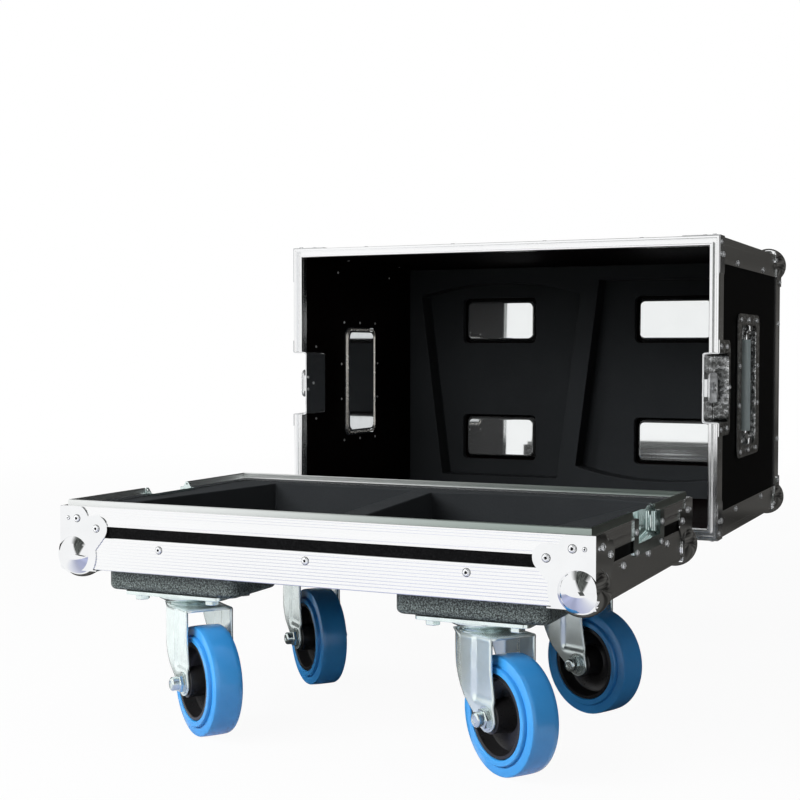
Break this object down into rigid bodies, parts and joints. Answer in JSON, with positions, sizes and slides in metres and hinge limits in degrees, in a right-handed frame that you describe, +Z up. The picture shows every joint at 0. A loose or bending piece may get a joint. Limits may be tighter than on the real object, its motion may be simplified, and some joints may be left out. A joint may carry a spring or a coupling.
{
  "type": "speaker flight case",
  "caption": "Road case: a shallow foam-lined tray on swivel castors, with a deep lift-off cover tipped on its back behind it, latches, sprung handles and castor cups.",
  "frame": {"origin": "middle of the underside of the tray's ply floor", "axes": "+X along the case to the viewer's right, +Y from the tray to the cover behind it, +Z up"},
  "size_m": [0.665, 1.0455, 0.6028],
  "materials": {
    "laminated_ply": "satin",
    "aluminium_profile": "satin",
    "foam": "matte",
    "castor_pad": "matte",
    "tyre": "satin",
    "wheel_centre": "satin",
    "zinc_plated_steel": "satin",
    "chromed_steel": "polished"
  },
  "bodies": {
    "tray": {"castor_plate_back_left": "zinc_plated_steel", "castor_plate_back_right": "zinc_plated_steel", "castor_plate_front_left": "zinc_plated_steel", "castor_plate_front_right": "zinc_plated_steel", "keeper_left": "zinc_plated_steel", "keeper_right": "zinc_plated_steel", "pad_back_left": "castor_pad", "pad_back_right": "castor_pad", "pad_front_left": "castor_pad", "pad_front_right": "castor_pad", "tray_corner_back_left": "chromed_steel", "tray_corner_back_right": "chromed_steel", "tray_corner_front_left": "chromed_steel", "tray_corner_front_right": "chromed_steel", "tray_edges": "aluminium_profile", "tray_floor": "laminated_ply", "tray_foam": "foam", "tray_rim_back": "aluminium_profile", "tray_rim_front": "aluminium_profile", "tray_walls": "laminated_ply"},
    "swivel_front_left": {"fork_front_left": "zinc_plated_steel", "axle_front_left": "zinc_plated_steel"},
    "wheel_front_left": {"wheel_centre_front_left": "wheel_centre", "tyre_front_left": "tyre"},
    "swivel_front_right": {"fork_front_right": "zinc_plated_steel", "axle_front_right": "zinc_plated_steel"},
    "wheel_front_right": {"wheel_centre_front_right": "wheel_centre", "tyre_front_right": "tyre"},
    "swivel_back_left": {"fork_back_left": "zinc_plated_steel", "axle_back_left": "zinc_plated_steel"},
    "wheel_back_left": {"wheel_centre_back_left": "wheel_centre", "tyre_back_left": "tyre"},
    "swivel_back_right": {"fork_back_right": "zinc_plated_steel", "axle_back_right": "zinc_plated_steel"},
    "wheel_back_right": {"wheel_centre_back_right": "wheel_centre", "tyre_back_right": "tyre"},
    "cover": {"castor_cup_back_left": "zinc_plated_steel", "castor_cup_back_right": "zinc_plated_steel", "castor_cup_front_left": "zinc_plated_steel", "castor_cup_front_right": "zinc_plated_steel", "cover_corner_back_left": "chromed_steel", "cover_corner_back_right": "chromed_steel", "cover_corner_front_left": "chromed_steel", "cover_corner_front_right": "chromed_steel", "cover_edges": "aluminium_profile", "cover_foam": "foam", "cover_rim_back": "aluminium_profile", "cover_rim_front": "aluminium_profile", "cover_top": "laminated_ply", "cover_walls": "laminated_ply", "handle_dish_left": "chromed_steel", "handle_dish_right": "chromed_steel", "latch_dish_left": "chromed_steel", "latch_dish_right": "chromed_steel"},
    "handle_left": {"handle_bail_left": "chromed_steel"},
    "wing_left": {"latch_wing_left": "chromed_steel"},
    "hook_left": {"latch_hook_left": "chromed_steel"},
    "handle_right": {"handle_bail_right": "chromed_steel"},
    "wing_right": {"latch_wing_right": "chromed_steel"},
    "hook_right": {"latch_hook_right": "chromed_steel"}
  },
  "joints": [
    {"name": "swivel_front_left", "type": "hinge", "parent": "tray", "child": "swivel_front_left", "pos_m": [-0.183, -0.1385, -0.0256], "axis": [0, 0, 1], "continuous": true},
    {"name": "wheel_front_left", "type": "hinge", "parent": "swivel_front_left", "child": "wheel_front_left", "pos_m": [-0.14677, -0.16434, -0.1246], "axis": [0.5807, 0.8141, 0], "continuous": true},
    {"name": "swivel_front_right", "type": "hinge", "parent": "tray", "child": "swivel_front_right", "pos_m": [0.183, -0.1385, -0.0256], "axis": [0, 0, 1], "continuous": true},
    {"name": "wheel_front_right", "type": "hinge", "parent": "swivel_front_right", "child": "wheel_front_right", "pos_m": [0.21967, -0.1637, -0.1246], "axis": [0.5664, 0.8241, 0], "continuous": true},
    {"name": "swivel_back_left", "type": "hinge", "parent": "tray", "child": "swivel_back_left", "pos_m": [-0.183, 0.1385, -0.0256], "axis": [0, 0, 1], "continuous": true},
    {"name": "wheel_back_left", "type": "hinge", "parent": "swivel_back_left", "child": "wheel_back_left", "pos_m": [-0.14967, 0.10901, -0.1246], "axis": [0.6626, 0.749, 0], "continuous": true},
    {"name": "swivel_back_right", "type": "hinge", "parent": "tray", "child": "swivel_back_right", "pos_m": [0.183, 0.1385, -0.0256], "axis": [0, 0, 1], "continuous": true},
    {"name": "wheel_back_right", "type": "hinge", "parent": "swivel_back_right", "child": "wheel_back_right", "pos_m": [0.2234, 0.11983, -0.1246], "axis": [0.4195, 0.9078, 0], "continuous": true},
    {"name": "cover_swing", "type": "hinge", "parent": "tray", "child": "cover", "pos_m": [0, 0.2421, -0.0409], "axis": [1, 0, 0], "range_deg": [0, 90]},
    {"name": "wing_left", "type": "hinge", "parent": "cover", "child": "wing_left", "pos_m": [-0.3085, 0.3805, 0.2012], "axis": [-1, 0, 0], "range_deg": [0, 180]},
    {"name": "hook_left", "type": "slide", "parent": "cover", "child": "hook_left", "axis": [0, -1, 0], "range_m": [0, 0.012]},
    {"name": "handle_left", "type": "hinge", "parent": "cover", "child": "handle_left", "pos_m": [-0.3155, 0.5955, 0.2012], "axis": [0, 0, -1], "range_deg": [0, 90], "stiffness_Nm_per_rad": 0.4},
    {"name": "wing_right", "type": "hinge", "parent": "cover", "child": "wing_right", "pos_m": [0.3085, 0.3805, 0.2012], "axis": [1, 0, 0], "range_deg": [0, 180]},
    {"name": "hook_right", "type": "slide", "parent": "cover", "child": "hook_right", "axis": [0, -1, 0], "range_m": [0, 0.012]},
    {"name": "handle_right", "type": "hinge", "parent": "cover", "child": "handle_right", "pos_m": [0.3155, 0.5955, 0.2012], "axis": [0, 0, 1], "range_deg": [0, 90], "stiffness_Nm_per_rad": 0.4}
  ],
  "couplings": [
    {"joint": "hook_left", "follows": "wing_left", "m_per_rad": 0.0038197},
    {"joint": "hook_right", "follows": "wing_right", "m_per_rad": 0.0038197}
  ]
}
